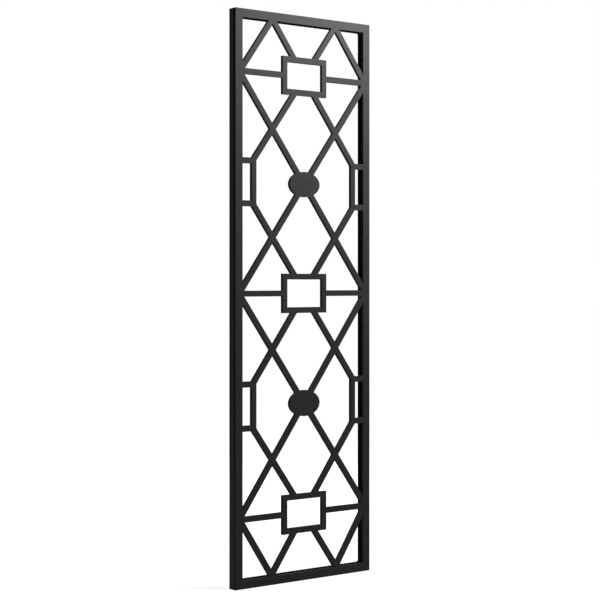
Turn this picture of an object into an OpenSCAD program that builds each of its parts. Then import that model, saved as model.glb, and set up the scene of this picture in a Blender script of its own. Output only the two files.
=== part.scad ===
// Free-hanging fretwork screen: one thick laser-cut steel plate, welded flush onto
// the front of a mitred box-section frame with threaded inserts in both ends.
//
// X runs along the width, +X to the right seen from the front.
// Y runs through the depth, the fretwork on the -Y side.
// Z runs up. The origin lies midway between the two floor inserts, on the underside.

/* [Fretwork plate] */
// Width of the whole screen
panel_w = 600; // [520:5:700]
// Thickness of the laser-cut plate
plate_t = 12; // [6:1:14]
// Solid border left all round the fretwork
border_w = 30; // [28:1:40]
// Face width of every bar of the fretwork
bar_w = 20.5; // [14:0.5:24]

/* [Pattern levels] */
// From the top edge down to the centre of the top window
top_field = 215; // [200:1:260]
// Steps from each level down to the next: window, disc, window, disc, window
level_steps = [381.5, 386, 389.5, 389]; // [350:0.5:450]
// From the centre of the bottom window down to the bottom edge
bottom_field = 239; // [200:1:280]

/* [Windows, discs and brackets] */
// Outside width of each framed window
window_w = 195.5; // [160:0.5:220]
// Outside height of each framed window, top to bottom
window_h = [135, 139, 139]; // [110:1:160]
// Width of each solid oval disc
disc_w = 134; // [100:1:160]
// Height of each solid oval disc, top to bottom
disc_h = [89.5, 92.5]; // [70:0.5:110]
// From the middle of the screen to the centre line of a bracket's upright
bracket_x = 221.5; // [210:0.5:232]
// Outside height of the brackets, top to bottom
bracket_h = [169, 172.5]; // [140:0.5:200]

/* [Diagonals] */
// Distance in from the screen's side at which a long diagonal starts
root_inset = 15.5; // [10:0.5:20]
// How far off its window's level a long diagonal starts, away from its disc
root_rise = 2.5; // [0:0.5:6]
// How far past its disc's centre a long diagonal aims
disc_overrun = 2; // [0:0.5:6]
// Half the spread of a short diagonal pair at its window
spread_x = 40; // [30:1:60]
// How far a short diagonal's centre line runs past the arm of its bracket
elbow_rise = 4.5; // [0:0.5:8]
// Where the end diagonals meet the top rail: long one, short one
top_node_x = [134, 146.5]; // [120:0.5:170]
// Where the end diagonals meet the bottom rail: long one, short one
bottom_node_x = [132.5, 157]; // [120:0.5:170]
// Extra spread of the short diagonals above the top window
top_spread = 2.5; // [0:0.5:10]
// How far off its window's level a long end diagonal starts, away from its rail
end_root_rise = 7; // [0:0.5:10]

/* [Frame] */
// Face width of the stiles, the two upright box sections
stile_w = 25; // [20:1:28]
// Face height of the rails, the two cross box sections
rail_h = 30; // [25:1:40]
// Depth of all four box sections
tube_d = 28; // [25:1:50]
// Wall of the box sections
wall_t = 2; // [1.5:0.5:3]
// Outside corner radius of the box sections
corner_r = 3; // [2:0.5:4]

/* [Welds] */
// Leg of a fillet bead
weld_leg = 4; // [3:0.5:4.5]
// Length of one stitch bead
stitch_l = 35; // [20:5:60]
// Number of stitch beads on each stile
stitches = 7; // [4:1:9]

/* [Threaded inserts] */
// Spacing of the two inserts in a rail
insert_spacing = 450; // [300:10:480]
// Core diameter of the M8 thread
insert_core_d = 6.8; // [6.8:0.1:7]
// Diameter of the insert's body and of its hole in the rail
insert_body_d = 11; // [10.5:0.5:12]
// Diameter of the insert's flush head
insert_head_d = 13; // [12.5:0.5:15]
// Depth of the head's countersink
insert_head_t = 1; // [0.5:0.1:1.5]
// Length of the whole insert
insert_l = 17; // [14:1:20]
// Diameter of the collar that the setting tool upsets behind the wall
insert_collar_d = 14.5; // [13:0.5:16]
// Length of that collar
insert_collar_l = 4; // [3:0.5:5]

/* [Hidden] */

$fn = 64;

satin_black = [0.05, 0.05, 0.055];
weld_black = [0.07, 0.07, 0.075];
zinc = [0.72, 0.73, 0.70];

// Heights of the five levels above the bottom edge, from the bottom up
level_z = [
    bottom_field,
    bottom_field + level_steps[3],
    bottom_field + level_steps[3] + level_steps[2],
    bottom_field + level_steps[3] + level_steps[2] + level_steps[1],
    bottom_field + level_steps[3] + level_steps[2] + level_steps[1] + level_steps[0]
];
panel_h = level_z[4] + top_field;

side_x = panel_w / 2;
root_x = side_x - root_inset;
border_x = side_x - border_w / 2;
rail_line_top = panel_h - border_w / 2;
rail_line_bottom = border_w / 2;

plate_back_y = -tube_d / 2;
disc_sides = 96;
overlap = 0.5;

// The even levels, 0, 2 and 4, carry windows and the odd ones carry discs
window_levels = [0, 2, 4];
disc_levels = [1, 3];
function window_height(level) = window_h[2 - level / 2];
function disc_height(level) = disc_h[(3 - level) / 2];
function bracket_height(level) = bracket_h[(3 - level) / 2];

// Centre line of a window's top bar (way = 1) or bottom bar (way = -1)
function window_bar_z(level, way) = level_z[level] + way * (window_height(level) - bar_w) / 2;

// Where a short diagonal meets the upright of a bracket, above or below its disc
function elbow_z(level, way) =
    level_z[level] + way * ((bracket_height(level) - bar_w) / 2 + elbow_rise);

// ---------- flat shapes of the fretwork, drawn in x and z ----------

// A straight bar of the fretwork between two points of its centre line
module bar(from, to) {
    run = to - from;
    translate(from)
        rotate(atan2(run[1], run[0]))
            translate([0, -bar_w / 2])
                square([norm(run), bar_w]);
}

// A shape and its mirror image about the screen's upright centre line
module both_sides() {
    children();
    mirror([1, 0]) children();
}

module window_outline(level) {
    translate([0, level_z[level]])
        difference() {
            square([window_w, window_height(level)], center = true);
            square([window_w - 2 * bar_w, window_height(level) - 2 * bar_w], center = true);
        }
}

// Horizontal bar that ties a window to the border
module tie(level) {
    start = window_w / 2 - overlap;
    translate([start, level_z[level] - bar_w / 2])
        square([border_x - start, bar_w]);
}

module disc_outline(level) {
    translate([0, level_z[level]])
        polygon([
            for (i = [0 : disc_sides - 1])
                let (a = 360 * i / disc_sides)
                [disc_w / 2 * cos(a), disc_height(level) / 2 * sin(a)]
        ]);
}

// Three-sided bracket that stands off the border beside a disc
module bracket(level) {
    h = bracket_height(level);
    translate([bracket_x - bar_w / 2, level_z[level] - h / 2])
        difference() {
            square([border_x - bracket_x + bar_w / 2, h]);
            translate([bar_w, bar_w])
                square([border_x - bracket_x, h - 2 * bar_w]);
        }
}

// The long and the short diagonal between a window and the disc above or below it
module diagonal_pair(window_level, disc_level) {
    way = sign(disc_level - window_level);
    bar(
        [root_x, level_z[window_level] - way * root_rise],
        [0, level_z[disc_level] + way * disc_overrun]
    );
    bar([spread_x, window_bar_z(window_level, way)], [bracket_x, elbow_z(disc_level, -way)]);
}

// The long and the short diagonal between an end window and its rail
module end_pair(level, way, rail_line, node_x, spread) {
    bar([root_x, level_z[level] - way * end_root_rise], [node_x[0], rail_line]);
    bar([spread, window_bar_z(level, way)], [node_x[1], rail_line]);
}

module border_outline() {
    difference() {
        translate([-side_x, 0])
            square([panel_w, panel_h]);
        translate([-side_x + border_w, border_w])
            square([panel_w - 2 * border_w, panel_h - 2 * border_w]);
    }
}

module fretwork_outline() {
    border_outline();
    for (level = window_levels)
        window_outline(level);
    for (level = disc_levels)
        disc_outline(level);
    both_sides() {
        for (level = window_levels)
            tie(level);
        for (level = disc_levels)
            bracket(level);
        for (level = disc_levels) {
            diagonal_pair(level + 1, level);
            diagonal_pair(level - 1, level);
        }
        end_pair(4, 1, rail_line_top, top_node_x, spread_x + top_spread);
        end_pair(0, -1, rail_line_bottom, bottom_node_x, spread_x);
    }
}

// ---------- helpers that stand a flat shape up ----------

// Carries a shape drawn in x and z back through a depth, from front_y
module stand(front_y, depth) {
    translate([0, front_y + depth, 0])
        rotate([90, 0, 0])
            linear_extrude(depth)
                children();
}

// Rectangle with rounded corners, centred
module rounded_rect(w, h, r) {
    square([w - 2 * r, h], center = true);
    square([w, h - 2 * r], center = true);
    for (x = [-1, 1], y = [-1, 1])
        translate([x * (w / 2 - r), y * (h / 2 - r)])
            circle(r);
}

// Cross-section of a box section
module box_section(w, h) {
    difference() {
        rounded_rect(w, h, corner_r);
        rounded_rect(w - 2 * wall_t, h - 2 * wall_t, corner_r - wall_t);
    }
}

// ---------- frame ----------

// Upright box section, cut at both ends along the mitre from outer to inner corner
module stile(side) {
    intersection() {
        translate([side * (side_x - stile_w / 2), 0, 0])
            linear_extrude(panel_h)
                box_section(stile_w, tube_d);
        stand(-tube_d, 2 * tube_d)
            polygon([
                [side * side_x, 0],
                [side * (side_x - stile_w), rail_h],
                [side * (side_x - stile_w), panel_h - rail_h],
                [side * side_x, panel_h]
            ]);
    }
}

// Cross box section with its outer face at z = 0 and its inner face at z = rail_h
module rail() {
    difference() {
        intersection() {
            translate([-side_x, 0, rail_h / 2])
                rotate([90, 0, 90])
                    linear_extrude(panel_w)
                        box_section(tube_d, rail_h);
            stand(-tube_d, 2 * tube_d)
                polygon([
                    [-side_x, 0],
                    [-side_x + stile_w, rail_h],
                    [side_x - stile_w, rail_h],
                    [side_x, 0]
                ]);
        }
        at_inserts()
            insert_hole();
    }
}

// The rail and its inserts are the same at the top, turned over
module at_top() {
    translate([0, 0, panel_h])
        mirror([0, 0, 1])
            children();
}

// ---------- threaded inserts ----------

module at_inserts() {
    for (side = [-1, 1])
        translate([side * insert_spacing / 2, 0, 0])
            children();
}

// Hole through the rail's outer wall, countersunk for the flush head
module insert_hole() {
    rotate_extrude()
        polygon([
            [0, -1],
            [insert_head_d / 2, -1],
            [insert_head_d / 2, 0],
            [insert_body_d / 2, insert_head_t],
            [insert_body_d / 2, wall_t + 1],
            [0, wall_t + 1]
        ]);
}

// Blind-side threaded insert: flush head, body and the collar that grips the wall
module threaded_insert() {
    rotate_extrude()
        polygon([
            [insert_core_d / 2, 0],
            [insert_head_d / 2, 0],
            [insert_body_d / 2, insert_head_t],
            [insert_body_d / 2, wall_t],
            [insert_collar_d / 2, wall_t],
            [insert_collar_d / 2, wall_t + insert_collar_l - 1],
            [insert_body_d / 2, wall_t + insert_collar_l],
            [insert_body_d / 2, insert_l],
            [insert_core_d / 2, insert_l]
        ]);
}

// ---------- welds ----------

// Quarter-round fillet bead laid along +Z in the corner of the +X and +Y walls
module bead(length) {
    linear_extrude(length)
        intersection() {
            circle(weld_leg);
            translate([-weld_leg, -weld_leg])
                square(weld_leg);
        }
}

// Beads down the inside of the frame's four mitred corners
module corner_bead(side) {
    translate([side * (side_x - stile_w), tube_d / 2, rail_h])
        rotate([90, 0, 0])
            mirror([side > 0 ? 0 : 1, 0])
                mirror([0, 1])
                    bead(tube_d);
}

// Stitch beads between the plate's back and the stile's inner face
module stitch_row(side) {
    pitch = (panel_h - 2 * rail_h) / stitches;
    for (i = [0 : stitches - 1])
        translate([
            side * (side_x - stile_w),
            plate_back_y,
            rail_h + (i + 0.5) * pitch - stitch_l / 2
        ])
            mirror([side > 0 ? 0 : 1, 0])
                mirror([0, 1])
                    bead(stitch_l);
}

// ---------- nodes ----------

module fretwork_plate() {
    color(satin_black)
        stand(plate_back_y - plate_t, plate_t)
            fretwork_outline();
}

module left_stile() {
    color(satin_black) stile(-1);
}

module right_stile() {
    color(satin_black) stile(1);
}

module bottom_rail() {
    color(satin_black) rail();
}

module top_rail() {
    color(satin_black) at_top() rail();
}

module corner_welds() {
    color(weld_black)
        for (side = [-1, 1]) {
            corner_bead(side);
            at_top() corner_bead(side);
        }
}

module left_stitch_welds() {
    color(weld_black) stitch_row(-1);
}

module right_stitch_welds() {
    color(weld_black) stitch_row(1);
}

module bottom_inserts() {
    color(zinc) at_inserts() threaded_insert();
}

module top_inserts() {
    color(zinc) at_top() at_inserts() threaded_insert();
}

fretwork_plate();
left_stile();
right_stile();
top_rail();
bottom_rail();
corner_welds();
left_stitch_welds();
right_stitch_welds();
top_inserts();
bottom_inserts();
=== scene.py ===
"""Looks of the laser-cut metal screen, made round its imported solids.

The box sections stay as packed and get their finish. The fretwork plate, the weld beads and
the threaded inserts are made again with eased edges, ripples and real threads.
Everything is in metres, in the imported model's own frame: X width, -Y front, +Z up.
"""

import math

import bpy
import numpy as np
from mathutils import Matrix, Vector


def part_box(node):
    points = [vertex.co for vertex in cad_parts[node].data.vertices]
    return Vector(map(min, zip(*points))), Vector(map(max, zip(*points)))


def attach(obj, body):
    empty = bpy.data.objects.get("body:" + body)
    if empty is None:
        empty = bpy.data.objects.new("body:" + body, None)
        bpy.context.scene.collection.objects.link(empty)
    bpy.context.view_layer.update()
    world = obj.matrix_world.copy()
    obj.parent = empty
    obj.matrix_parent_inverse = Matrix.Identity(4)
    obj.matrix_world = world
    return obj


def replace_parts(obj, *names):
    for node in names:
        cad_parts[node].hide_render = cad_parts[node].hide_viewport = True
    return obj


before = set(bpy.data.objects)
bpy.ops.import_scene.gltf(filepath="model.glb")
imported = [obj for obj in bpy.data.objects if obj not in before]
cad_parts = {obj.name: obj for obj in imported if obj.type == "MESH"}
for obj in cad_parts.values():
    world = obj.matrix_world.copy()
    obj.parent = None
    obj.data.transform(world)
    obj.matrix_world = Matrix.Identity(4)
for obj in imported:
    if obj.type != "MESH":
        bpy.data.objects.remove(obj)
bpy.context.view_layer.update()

MM = 0.001
TAU = 2 * math.pi

# Sizes read from the solids
SIDE_X, TUBE_BACK_Y, HEIGHT = (round(v, 6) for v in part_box("right_stile")[1])
STILE_W = round(SIDE_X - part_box("right_stile")[0][0], 6)
RAIL_H = round(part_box("bottom_rail")[1][2], 6)
PLATE_FRONT_Y, PLATE_BACK_Y = (round(corner[1], 6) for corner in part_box("fretwork_plate"))

# The plate's edges and the box sections' rounded corners
EDGE_EASE = 0.45 * MM
CORNER_R = 3 * MM

# Weld beads
BEAD_LEG = 4 * MM
BEAD_RIPPLE = 1.7 * MM
STITCH_L = 35 * MM
STITCHES = 7

# Threaded inserts: M8, 17 mm long
INSERT_X = 225 * MM
INSERT_L = 17 * MM
CORE_R = 3.4 * MM
THREAD_DEPTH = 0.6 * MM
THREAD_PITCH = 1.25 * MM

# The photograph's frame, and how far its middle lies below the horizon, in pixels
PHOTO_PX = 600
BELOW_HORIZON_PX = 18.92


# ---------- camera ----------

def make_camera():
    """Level camera at the photograph's place, with the lens that its perspective gives."""
    data = bpy.data.cameras.new("photo_camera")
    data.lens = 90.6
    data.sensor_width = 36.0
    data.shift_y = -BELOW_HORIZON_PX / PHOTO_PX
    camera = bpy.data.objects.new("photo_camera", data)
    camera.location = (-3.276, -4.2662, 1.0609)
    camera.rotation_euler = (math.pi / 2, 0, -0.6546)
    bpy.context.scene.collection.objects.link(camera)
    bpy.context.scene.camera = camera


# ---------- meshes from arrays ----------

def mesh_piece(name, points, faces, materials, face_slots=None, corner_normals=None):
    """A mesh object from points (n, 3) and a list of faces, riding on the screen's one body.

    face_slots gives each face's material, and corner_normals each face corner's normal.
    """
    mesh = bpy.data.meshes.new(name)
    mesh.from_pydata(np.asarray(points, float).tolist(), [], faces)
    for material in materials:
        mesh.materials.append(material)
    mesh.polygons.foreach_set("use_smooth", [True] * len(faces))
    if face_slots is not None:
        mesh.polygons.foreach_set("material_index", face_slots)
    mesh.update()
    if corner_normals is None:
        mesh.set_sharp_from_angle(angle=math.radians(40))
    else:
        mesh.normals_split_custom_set(corner_normals.tolist())
    piece = bpy.data.objects.new(name, mesh)
    bpy.context.scene.collection.objects.link(piece)
    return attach(piece, "root")


def ring_faces(rings, around, start=0, wrap=False):
    """Quads between closed rings of points, each ring holding `around` points.

    Ring i's point j has the number start + i * around + j. With wrap, the last ring joins the
    first, and otherwise the two end rings are closed with one face each.
    """
    last = rings if wrap else rings - 1
    i, j = np.meshgrid(np.arange(last), np.arange(around), indexing="ij")
    k, l = (i + 1) % rings, (j + 1) % around
    quads = start + np.stack([i * around + j, i * around + l, k * around + l, k * around + j], -1)
    faces = quads.reshape(-1, 4).tolist()
    if not wrap:
        end = start + (rings - 1) * around
        faces.append(list(range(start + around - 1, start - 1, -1)))
        faces.append(list(range(end, end + around)))
    return faces


# ---------- the fretwork plate ----------

def joined_triangles(node):
    """The node's loose triangles with the corners that meet made one: points and triangles."""
    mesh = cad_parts[node].data
    mesh.calc_loop_triangles()
    corners = np.empty(len(mesh.vertices) * 3)
    mesh.vertices.foreach_get("co", corners)
    triangles = np.empty(len(mesh.loop_triangles) * 3, int)
    mesh.loop_triangles.foreach_get("vertices", triangles)
    points, number = np.unique(corners.reshape(-1, 3).round(6), axis=0, return_inverse=True)
    return points, number.reshape(-1)[triangles].reshape(-1, 3)


def eased_plate(node, name, materials):
    """The cut plate with its sharp edges eased to a small quarter round.

    The front face's outline is carried back through the plate as rings. A ring at the turn a of
    the quarter round is moved into the metal by ease * (1 - sin a), along the bisector of each
    corner, and lies ease * (1 - cos a) behind the face. The back edge is the same turned over.
    """
    points, triangles = joined_triangles(node)
    a, b, c = (points[triangles[:, i]] for i in range(3))
    normals = np.cross(b - a, c - a)
    facing = normals[:, 1] < -0.99 * np.linalg.norm(normals, axis=1)
    triangles = triangles[facing]

    # Outline edges belong to one front triangle, so their reverse isn't in the list
    edges = np.concatenate([triangles[:, [0, 1]], triangles[:, [1, 2]], triangles[:, [2, 0]]])
    code = edges[:, 0] * len(points) + edges[:, 1]
    reverse = edges[:, 1] * len(points) + edges[:, 0]
    outline = edges[~np.isin(code, reverse)]
    outline = outline[np.argsort(outline[:, 0])]
    number = np.full(len(points), -1)
    number[outline[:, 0]] = np.arange(len(outline))
    triangles = number[triangles]
    after = number[outline[:, 1]]
    before = np.argsort(after)
    flat = points[outline[:, 0]][:, [0, 2]]

    run = flat[after] - flat
    run /= np.linalg.norm(run, axis=1, keepdims=True)
    inward = np.stack([-run[:, 1], run[:, 0]], 1)
    both = inward + inward[before]
    turn = (inward * inward[before]).sum(1)
    bisector = both / (1 + turn)[:, None]
    mean = both / np.linalg.norm(both, axis=1, keepdims=True)
    # Walls that meet at under 12 degrees are facets of one curve, and share a normal
    curved = (turn > math.cos(math.radians(12)))[:, None]
    at_start = np.where(curved, mean, inward)
    at_end = np.where(curved[after], mean[after], inward)

    steps = np.radians([0, 30, 60, 90])
    inset = EDGE_EASE * (1 - np.sin(steps))
    depth = EDGE_EASE * (1 - np.cos(steps))
    insets = np.concatenate([inset, inset[::-1]])
    ys = np.concatenate([PLATE_FRONT_Y + depth, PLATE_BACK_Y - depth[::-1]])
    outward = np.concatenate([np.sin(steps), np.sin(steps)[::-1]])
    frontward = np.concatenate([-np.cos(steps), np.cos(steps)[::-1]])
    rings, around = len(ys), len(flat)

    moved = flat[None] + insets[:, None, None] * bisector[None]
    y = np.broadcast_to(ys[:, None], (rings, around))
    points = np.stack([moved[..., 0], y, moved[..., 1]], -1).reshape(-1, 3)

    # Material 0 is on the two faces, 1 on the cut wall and 2 on the eased edges
    here = np.arange(around)
    front = triangles
    back = triangles[:, ::-1] + (rings - 1) * around
    walls, wall_normals, wall_slots = [], [], []
    for r in range(rings - 1):
        walls.append(np.stack([after, here, here + around, after + around], 1) + r * around)
        corner = [(r, at_end), (r, at_start), (r + 1, at_start), (r + 1, at_end)]
        wall_normals.append(np.stack([
            np.stack([-side[:, 0] * outward[k], np.full(around, frontward[k]),
                      -side[:, 1] * outward[k]], 1)
            for k, side in corner], 1))
        wall_slots += [1 if r == rings // 2 - 1 else 2] * around
    faces = front.tolist() + back.tolist() + np.concatenate(walls).tolist()
    slots = [0] * (len(front) + len(back)) + wall_slots
    corner_normals = np.concatenate([
        np.tile([0.0, -1.0, 0.0], (front.size, 1)),
        np.tile([0.0, 1.0, 0.0], (back.size, 1)),
        np.concatenate(wall_normals).reshape(-1, 3)])
    piece = mesh_piece(name, points, faces, materials, slots, corner_normals)
    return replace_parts(piece, node)


# ---------- weld beads ----------

def bead_rings(corner, along, wall_a, wall_b, length, seed):
    """Rings of a fillet bead between two walls, with the curved ripples of a hand-laid weld.

    At the distance s along the bead and the angle t between the walls, the radius is the leg
    times the taper, a slow unevenness of 4 % and (1 - 0.13 * ripple), whose ripple fades to the
    walls. The ripple is a raised cosine of s plus a crescent, 0.6 * leg * sin 2t, over the
    ripple's length, which wanders by a slow sine. The taper rises from 0.3 at each end to 1 as
    a quarter of an ellipse does. The corner line closes each ring.
    """
    corner, along, wall_a, wall_b = map(np.asarray, (corner, along, wall_a, wall_b))
    rings = max(12, int(length / BEAD_RIPPLE * 8))
    s = np.linspace(0, length, rings)[:, None]
    t = np.linspace(0, math.pi / 2, 13)[None]
    rng = np.random.default_rng(seed)
    shift, wander = rng.uniform(0, TAU, 2)
    phase = s + 0.6 * BEAD_LEG * np.sin(2 * t) + 0.25 * MM * np.sin(s / (4.3 * MM) + wander)
    ripple = (0.5 - 0.5 * np.cos(TAU * phase / BEAD_RIPPLE + shift)) ** 0.75
    end = np.clip(np.minimum(s, length - s) / (1.1 * BEAD_LEG), 0, 1)
    taper = 0.3 + 0.7 * np.sqrt(1 - (1 - end) ** 2)
    uneven = 1 - 0.04 * (0.5 + 0.5 * np.sin(s / (6.1 * MM) + wander))
    radius = BEAD_LEG * taper * uneven * (1 - 0.13 * ripple * np.sin(2 * t) ** 0.5)
    line = corner + s * along
    across = np.cos(t)[..., None] * wall_a + np.sin(t)[..., None] * wall_b
    arc = line[:, None] + radius[..., None] * across
    return np.concatenate([line[:, None], arc], 1)


def beads(node, name, places, material):
    """All the beads of one node: each place is a corner, three directions and a length."""
    points, faces, count = [], [], 0
    for i, (corner, along, wall_a, wall_b, length) in enumerate(places):
        rings = bead_rings(corner, along, wall_a, wall_b, length, seed=17 * i + len(name))
        made = ring_faces(*rings.shape[:2], count)
        if np.dot(np.cross(wall_a, wall_b), along) < 0:
            made = [face[::-1] for face in made]
        points.append(rings.reshape(-1, 3))
        faces += made
        count += rings.shape[0] * rings.shape[1]
    piece = mesh_piece(name, np.concatenate(points), faces, [material])
    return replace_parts(piece, node)


def corner_places():
    """The four inside corners of the frame, each bead running from the plate to the back."""
    return [((x * (SIDE_X - STILE_W), PLATE_BACK_Y, z), (0, 1, 0), (-x, 0, 0), (0, 0, up),
             TUBE_BACK_Y - PLATE_BACK_Y)
            for x in (-1, 1) for z, up in ((RAIL_H, 1), (HEIGHT - RAIL_H, -1))]


def stitch_places(x):
    """The row of short beads between the plate's back and one stile's inner face."""
    pitch = (HEIGHT - 2 * RAIL_H) / STITCHES
    return [((x * (SIDE_X - STILE_W), PLATE_BACK_Y, RAIL_H + (i + 0.5) * pitch - STITCH_L / 2),
             (0, 0, 1), (-x, 0, 0), (0, 1, 0), STITCH_L)
            for i in range(STITCHES)]


# ---------- threaded inserts ----------

def insert_rings():
    """Rings of an insert about the Z axis, its flush head at z = 0 and its body above.

    The outside is the profile head, countersink, collar and body, each point a radius and a
    height in mm. The bore's radius at the height z and the angle t is the core's plus the
    thread's depth times a triangle wave of z / pitch - t / turn, cut flat at its tips, so the
    ridges climb as a right-hand thread does. The mouth opens in a small cone at both ends.
    """
    around = 48
    outside = np.array([
        [4.35, 0.0], [6.3, 0.0], [6.5, 0.06], [6.42, 0.16], [5.5, 1.0], [5.5, 1.98], [7.05, 2.0],
        [7.25, 2.3], [7.25, 4.6], [6.9, 5.2], [5.5, 6.0], [5.5, 16.8], [5.3, 17.0],
        [4.1, 17.0]]) * MM
    z = np.arange(INSERT_L - 0.2 * MM, 0.3 * MM, -THREAD_PITCH / 8)[:, None]
    t = np.linspace(0, TAU, around, endpoint=False)[None]
    wave = np.abs(2 * ((z / THREAD_PITCH - t / TAU) % 1) - 1)
    mouth = np.clip(1.05 - np.minimum(z, INSERT_L - z) / (0.9 * MM), 0, 1)
    bore = CORE_R + THREAD_DEPTH * np.maximum(np.clip(1.2 * wave - 0.1, 0, 1), mouth)
    radius = np.concatenate([np.repeat(outside[:, :1], around, 1), bore])
    height = np.concatenate([np.repeat(outside[:, 1:], around, 1), np.repeat(z, around, 1)])
    return np.stack([radius * np.cos(t), radius * np.sin(t), height], -1)


def inserts(node, name, top, material):
    """The pair of inserts in one rail, set from below or, at the top, from above."""
    points, faces, count = [], [], 0
    for x in (-INSERT_X, INSERT_X):
        rings = insert_rings()
        if top:
            rings = rings * (1, -1, -1) + (0, 0, HEIGHT)
        rings = rings + (x, 0, 0)
        faces += ring_faces(*rings.shape[:2], count, wrap=True)
        points.append(rings.reshape(-1, 3))
        count += rings.shape[0] * rings.shape[1]
    piece = mesh_piece(name, np.concatenate(points), faces, [material])
    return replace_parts(piece, node)


# ---------- shader expressions ----------

class Wire:
    """One socket of a shader tree, used like a number: + - * and so on add Math nodes."""

    def __init__(self, socket):
        self.socket = socket
        self.tree = socket.id_data

    def math(self, operation, *values):
        return add(self.tree, "ShaderNodeMath", {"operation": operation},
                   dict(enumerate(values)))

    def __add__(self, other):
        return self.math("ADD", self, other)

    def __radd__(self, other):
        return self.math("ADD", other, self)

    def __sub__(self, other):
        return self.math("SUBTRACT", self, other)

    def __rsub__(self, other):
        return self.math("SUBTRACT", other, self)

    def __mul__(self, other):
        return self.math("MULTIPLY", self, other)

    def __rmul__(self, other):
        return self.math("MULTIPLY", other, self)

    def __abs__(self):
        return self.math("ABSOLUTE", self)

    def least(self, other):
        return self.math("MINIMUM", self, other)

    def most(self, other):
        return self.math("MAXIMUM", self, other)


def add(tree, kind, settings=None, sockets=None, out=0):
    """Adds a node: its settings first, then its sockets' values or wires. Returns one output."""
    node = tree.nodes.new(kind)
    for key, value in (settings or {}).items():
        setattr(node, key, value)
    for key, value in (sockets or {}).items():
        if isinstance(value, Wire):
            tree.links.new(value.socket, node.inputs[key])
        else:
            node.inputs[key].default_value = value
    return Wire(node.outputs[out]) if len(node.outputs) else node


def ramp(wire, low, high):
    """0 where the wire is at low, 1 at high, smooth between."""
    return add(wire.tree, "ShaderNodeMapRange", {"interpolation_type": "SMOOTHSTEP"},
               {"Value": wire, "From Min": low, "From Max": high})


def tint(factor, low, high):
    """Colour that goes from low to high with the factor. Low may be a wire."""
    low = low if isinstance(low, Wire) else (*low, 1)
    return add(factor.tree, "ShaderNodeMix", {"data_type": "RGBA"},
               {0: factor, 6: low, 7: (*high, 1)}, out=2)


class Coat:
    """A new surface finish, with the patterns that all of them are made from."""

    def __init__(self, name):
        self.material = bpy.data.materials.new(name)
        self.material.use_nodes = True
        self.tree = self.material.node_tree
        self.tree.nodes.clear()
        self.place = add(self.tree, "ShaderNodeTexCoord", out="Object")

    def axis(self, index):
        return add(self.tree, "ShaderNodeSeparateXYZ", None, {0: self.place}, out=index)

    def grain(self, size, detail=2.0, roughness=0.5, stretch=(1, 1, 1), offset=(0, 0, 0)):
        """Noise of a grain size in metres, longer along an axis where stretch is under 1."""
        place = add(self.tree, "ShaderNodeMapping", None,
                    {"Vector": self.place, "Location": offset, "Scale": stretch})
        return add(self.tree, "ShaderNodeTexNoise", None,
                   {"Vector": place, "Scale": 1 / size, "Detail": detail,
                    "Roughness": roughness})

    def bump(self, height, strength, normal=None):
        """Normal of a relief whose height is in metres."""
        sockets = {"Height": height, "Distance": 1.0, "Strength": strength}
        if normal is not None:
            sockets["Normal"] = normal
        return add(self.tree, "ShaderNodeBump", None, sockets)

    def surface(self, varying, constant):
        """One Principled surface."""
        return add(self.tree, "ShaderNodeBsdfPrincipled", None, {**constant, **varying})

    def finish(self, shader):
        """Closes the finish with its surface."""
        add(self.tree, "ShaderNodeOutputMaterial", None, {"Surface": shader})
        return self.material


# ---------- finishes ----------

# Each finish goes from its darker colour to its paler one
COAT_COLOURS = (0.020, 0.020, 0.0207), (0.037, 0.037, 0.038)
# Painted shade: near-black colours for the tubes' inward faces, standing in for the shade inside
# the frame
PAINTED_SHADE_INWARD_COLOURS = (0.004, 0.004, 0.0042), (0.009, 0.009, 0.0092)
CUT_COLOURS = (0.026, 0.026, 0.0268), (0.056, 0.056, 0.0575)
EDGE_COLOURS = (0.026, 0.026, 0.027), (0.055, 0.055, 0.056)
ZINC_COLOURS = (0.58, 0.59, 0.60), (0.66, 0.63, 0.50)
# Painted highlight: a paler colour for the tubes' rounded corners, standing in for the light they
# catch
PAINTED_HIGHLIGHT_CORNER_COLOUR = (0.07, 0.07, 0.0715)

COAT_GLOSS = {"Specular IOR Level": 0.035, "IOR": 1.5}
FLAT_GLOSS = {"Specular IOR Level": 0.0, "IOR": 1.5}


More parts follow.
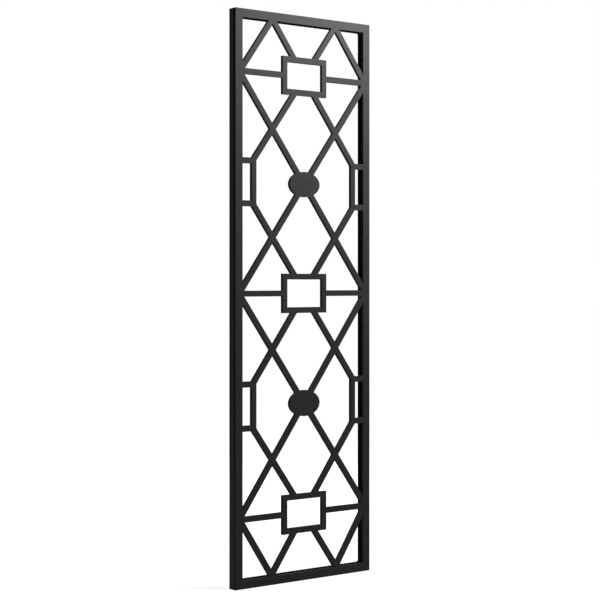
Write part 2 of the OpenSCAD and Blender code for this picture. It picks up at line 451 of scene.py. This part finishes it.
def powder_coat(name, frame_tube=False):
    """Satin black powder coat: orange peel about 1.3 mm across, cloudy tone, fine fleck.

    On the frame's tubes, the ground weld along each mitre shows as a faint band: its relief
    follows the distance from the mitre's plane, through the frame's outer and inner corners.
    The tubes' inward faces get a near-black dead-flat coat, a painted shade for the shade
    inside the frame, and their rounded corners a paler colour, a painted highlight.
    """
    coat = Coat(name)
    cloud = coat.grain(0.16, detail=3.0)
    film = coat.grain(0.012, detail=2.0, offset=(3.1, 1.7, 0.4))
    fleck = ramp(coat.grain(0.0006, detail=1.0, offset=(7.7, 2.3, 5.9)), 0.62, 0.74)
    peel = coat.grain(0.0013, detail=1.5, roughness=0.4)
    fine = coat.grain(0.0003, detail=1.0)
    tone = 0.55 * cloud + 0.3 * film + 0.4 * fleck - 0.03
    height = 0.00018 * peel + 0.00004 * fine
    rough = 0.40 + 0.10 * film + 0.06 * cloud - 0.04 * fleck
    colour = tint(tone, *COAT_COLOURS)
    if frame_tube:
        side = abs(coat.axis(0))
        level = coat.axis(2)
        level = level.least(HEIGHT - level)
        across = math.hypot(RAIL_H, STILE_W)
        off = abs((side - SIDE_X) * (RAIL_H / across) + level * (STILE_W / across))
        wobble = 0.0006 * coat.grain(0.004, offset=(1.3, 4.1, 2.2))
        seam = 1 - ramp(off + wobble, 0.6 * MM, 2.2 * MM)
        ground = coat.grain(0.0011, detail=1.0, stretch=(1, 1, 0.25), offset=(5.5, 0.2, 8.8))
        height = height + seam * (0.00020 + 0.00012 * ground)
        rough = rough + 0.08 * seam
        depth = abs(coat.axis(1) - (PLATE_BACK_Y + TUBE_BACK_Y) / 2)
        face = (TUBE_BACK_Y - PLATE_BACK_Y) / 2
        # Painted highlight: a paler band along the tubes' rounded front and rear corners
        turned = ramp(depth, face - CORNER_R, face - CORNER_R + 1.0 * MM)
        rounded = turned * (1 - ramp(depth, face - 0.5 * MM, face - 0.1 * MM))
        colour = tint(rounded, colour, PAINTED_HIGHLIGHT_CORNER_COLOUR)
    normal = coat.bump(height, 0.5)
    surface = coat.surface(
        {"Base Color": colour, "Roughness": rough, "Normal": normal}, COAT_GLOSS)
    if frame_tube:
        inner_x = SIDE_X - STILE_W
        between_stiles = 1 - ramp(side, inner_x + 0.3 * MM, inner_x + 1.2 * MM)
        between_rails = ramp(level, RAIL_H - 1.2 * MM, RAIL_H - 0.3 * MM)
        # Painted shade: this mask picks the tubes' inward faces, which get the near-black surface
        # below
        inward = between_stiles * between_rails
        # Painted-shade surface: near-black and dead flat, in place of the shade that falls inside
        # the frame
        thin = coat.surface(
            {"Base Color": tint(tone, *PAINTED_SHADE_INWARD_COLOURS),
             "Roughness": 0.5 + 0.3 * film, "Normal": normal},
            FLAT_GLOSS)
        surface = add(coat.tree, "ShaderNodeMixShader", None,
                      {"Fac": inward, 1: surface, 2: thin})
    return coat.finish(surface)


def cut_wall_coat():
    """Coat over a laser-cut wall: dead flat, with fine drag lines through the thickness.

    Towards the back, where the cut leaves its burr, it has darker burnt patches.
    """
    coat = Coat("coated_laser_cut_wall")
    lines = coat.grain(0.0007, detail=2.0, roughness=0.6, stretch=(1, 0.06, 1))
    broad = coat.grain(0.0032, detail=1.0, stretch=(1, 0.1, 1), offset=(2.0, 0, 6.0))
    low_edge = ramp(coat.axis(1), PLATE_BACK_Y - 6 * MM, PLATE_BACK_Y - 0.5 * MM)
    burn = low_edge * ramp(coat.grain(0.0018, stretch=(1, 0.3, 1)), 0.4, 0.7)
    film = coat.grain(0.012, offset=(3.1, 1.7, 0.4))
    tone = 0.4 * film + 0.35 * lines - 0.2 * burn
    height = 0.00005 * lines + 0.00003 * broad + 0.00004 * burn
    return coat.finish(coat.surface(
        {"Base Color": tint(tone, *CUT_COLOURS),
         "Roughness": 0.50 + 0.14 * lines, "Normal": coat.bump(height, 0.6)},
        FLAT_GLOSS))


def eased_edge_coat():
    """Coat drawn thin over an eased edge: a little lighter and smoother, in uneven stretches."""
    coat = Coat("thin_coat_on_edge")
    wear = ramp(coat.grain(0.02, detail=3.0), 0.35, 0.7)
    nick = ramp(coat.grain(0.0025, detail=1.0, offset=(4.4, 0.3, 9.1)), 0.55, 0.75)
    tone = 0.6 * wear + 0.4 * nick
    return coat.finish(coat.surface(
        {"Base Color": tint(tone, *EDGE_COLOURS),
         "Roughness": 0.42 - 0.1 * wear,
         "Normal": coat.bump(0.00001 * coat.grain(0.0009), 0.5)},
        COAT_GLOSS))


def weld_coat():
    """Coat over a weld: pooled in the ripples' valleys, with spatter grit under it."""
    coat = Coat("coated_weld")
    pool = coat.grain(0.0016, detail=2.0)
    grit = ramp(coat.grain(0.0007, detail=1.0, offset=(6.2, 1.1, 3.3)), 0.6, 0.75)
    return coat.finish(coat.surface(
        {"Base Color": tint(pool, *COAT_COLOURS),
         "Roughness": 0.36 + 0.16 * pool,
         "Normal": coat.bump(0.00004 * grit + 0.00002 * pool, 0.6)},
        COAT_GLOSS))


def zinc_plate():
    """Bright zinc on the inserts: silver with a faint straw bloom and fine turning marks."""
    coat = Coat("zinc_plate")
    bloom = ramp(coat.grain(0.004, detail=3.0), 0.35, 0.7)
    turned = coat.grain(0.0004, detail=2.0, stretch=(0.25, 0.25, 1.6))
    return coat.finish(coat.surface(
        {"Base Color": tint(bloom, *ZINC_COLOURS),
         "Roughness": 0.28 + 0.16 * turned,
         "Normal": coat.bump(0.000012 * turned, 0.5)},
        {"Metallic": 1.0}))


# ---------- stage and light ----------

def seen_directly(tree):
    """1 for a ray from the camera, and for what metal and glass show."""
    path = {name: add(tree, "ShaderNodeLightPath", out=name)
            for name in ("Is Camera Ray", "Is Glossy Ray", "Is Transmission Ray")}
    return path["Is Camera Ray"].most(path["Is Glossy Ray"]).most(path["Is Transmission Ray"])


def make_floor():
    """Wide pale floor that shows white and keeps the screen's soft shadow.

    Near the screen, part of its white is lamplight, so that a shadow shows. Farther out, where
    the lamps don't reach, it glows a full white.
    """
    material = bpy.data.materials.new("pale_floor")
    material.use_nodes = True
    tree = material.node_tree
    tree.nodes.clear()
    place = add(tree, "ShaderNodeTexCoord", out="Object")
    distance = add(tree, "ShaderNodeVectorMath", {"operation": "LENGTH"}, {0: place}, out=1)
    lit = add(tree, "ShaderNodeBsdfDiffuse", None, {"Color": (0.32, 0.32, 0.32, 1)})
    glow = add(tree, "ShaderNodeEmission", None,
               {"Color": (1, 1, 1, 1), "Strength": 0.8 + 0.2 * ramp(distance, 0.8, 2.2)})
    white = add(tree, "ShaderNodeAddShader", None, {0: lit, 1: glow})
    plain = add(tree, "ShaderNodeBsdfDiffuse", None, {"Color": (0.6, 0.6, 0.6, 1)})
    shown = add(tree, "ShaderNodeMixShader", None,
                {"Fac": seen_directly(tree), 1: plain, 2: white})
    add(tree, "ShaderNodeOutputMaterial", None, {"Surface": shown})
    half = 40.0
    mesh = bpy.data.meshes.new("floor")
    mesh.from_pydata([(-half, -half, 0), (half, -half, 0), (half, half, 0), (-half, half, 0)],
                     [], [(0, 1, 2, 3)])
    mesh.materials.append(material)
    floor = bpy.data.objects.new("floor", mesh)
    bpy.context.scene.collection.objects.link(floor)


def make_world(room):
    """White backdrop, over an even room light of the given strength."""
    world = bpy.data.worlds.new("white_room")
    world.use_nodes = True
    bpy.context.scene.world = world
    tree = world.node_tree
    tree.nodes.clear()
    seen = seen_directly(tree)
    glow = add(tree, "ShaderNodeBackground", None,
               {"Color": (1, 1, 1, 1), "Strength": room + (1 - room) * seen})
    add(tree, "ShaderNodeOutputWorld", None, {"Surface": glow})


def soft_box(name, place, aim, size, power):
    """Square area lamp at a place, turned to face a point."""
    data = bpy.data.lights.new(name, "AREA")
    data.size = size
    data.energy = power
    lamp = bpy.data.objects.new(name, data)
    lamp.location = place
    lamp.rotation_euler = (Vector(aim) - Vector(place)).to_track_quat("-Z", "Y").to_euler()
    bpy.context.scene.collection.objects.link(lamp)


# ---------- the whole scene ----------

make_camera()

face_coat = powder_coat("powder_coat_plate")
tube_coat = powder_coat("powder_coat_frame_with_painted_shade_and_highlight", frame_tube=True)
bead_coat = weld_coat()
zinc = zinc_plate()

eased_plate("fretwork_plate", "cut_plate", [face_coat, cut_wall_coat(), eased_edge_coat()])
for node in ("left_stile", "right_stile", "top_rail", "bottom_rail"):
    for material_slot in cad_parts[node].material_slots:
        material_slot.material = tube_coat
beads("corner_welds", "corner_beads", corner_places(), bead_coat)
beads("left_stitch_welds", "left_stitch_beads", stitch_places(-1), bead_coat)
beads("right_stitch_welds", "right_stitch_beads", stitch_places(1), bead_coat)
inserts("top_inserts", "top_threaded_inserts", True, zinc)
inserts("bottom_inserts", "bottom_threaded_inserts", False, zinc)

make_floor()
make_world(0.03)
soft_box("key", (0.58, -0.87, 2.46), (0.1, 0, 1.8), 0.8, 66)
soft_box("back_fill", (1.0, 3.0, 1.8), (0, 0, 1.1), 2.0, 95)

scene = bpy.context.scene
scene.view_settings.view_transform = "Standard"
